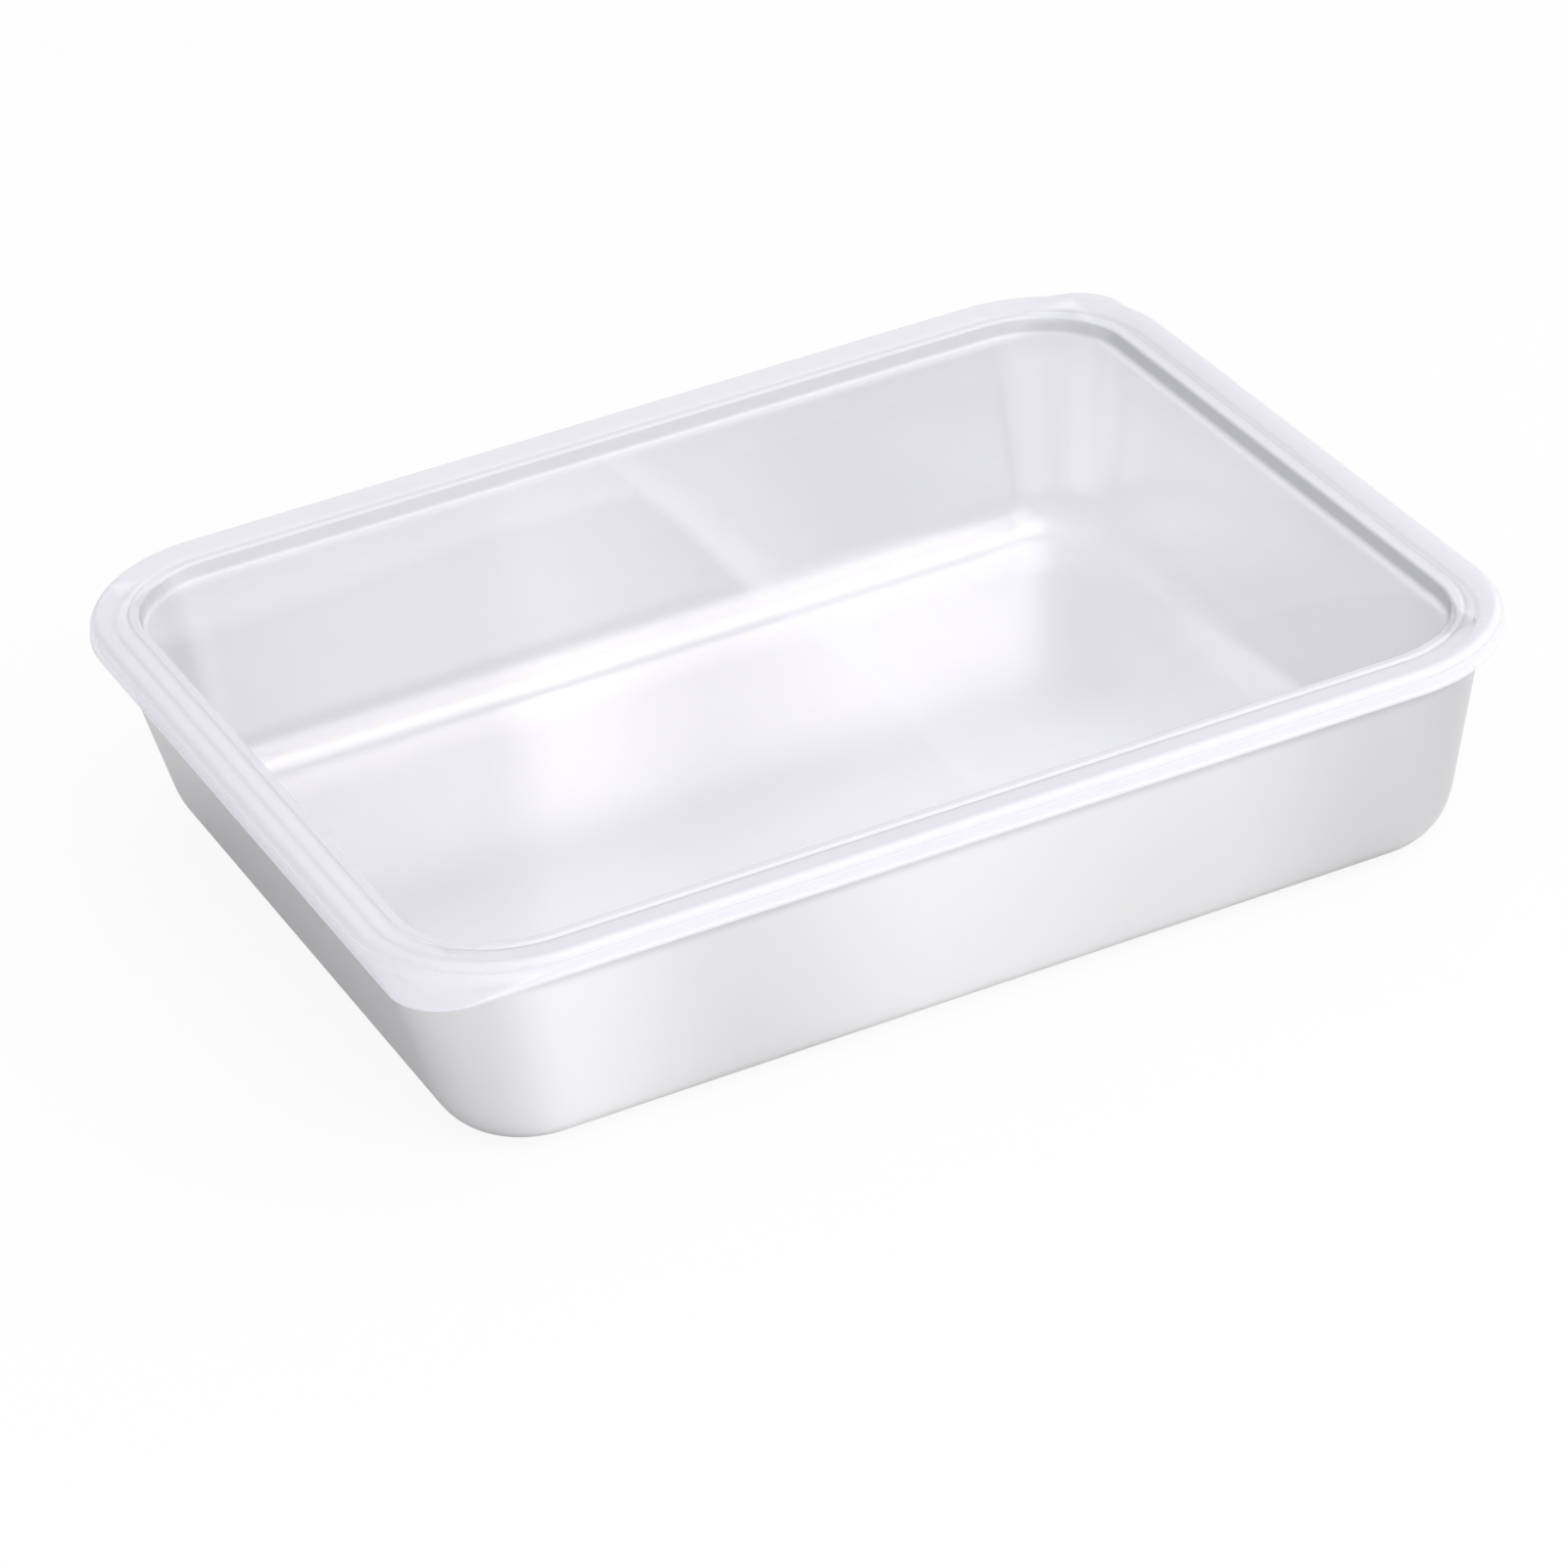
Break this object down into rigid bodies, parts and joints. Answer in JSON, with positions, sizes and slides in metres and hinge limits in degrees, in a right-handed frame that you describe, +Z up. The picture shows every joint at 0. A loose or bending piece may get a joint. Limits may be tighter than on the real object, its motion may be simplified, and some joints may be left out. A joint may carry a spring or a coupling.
{
  "type": "food storage container",
  "caption": "Low rectangular stainless steel food tray with rounded corners and a rolled rim, closed by a translucent press-fit plastic lid with a sunken panel and corner pull tabs.",
  "frame": {"origin": "centre of the container's footprint, on the table under the flat base", "axes": "+X along the length, +Y across the width towards the back, +Z up"},
  "size_m": [0.265, 0.216, 0.0553],
  "materials": {
    "steel": "satin",
    "lid_plastic": "satin, translucent"
  },
  "bodies": {
    "tray_body": {"tray": "steel"},
    "lid_body": {"lid": "lid_plastic"}
  },
  "joints": [
    {"name": "lid_lift", "type": "slide", "parent": "tray_body", "child": "lid_body", "axis": [0, 0, 1], "range_m": [0, 0.08]}
  ]
}
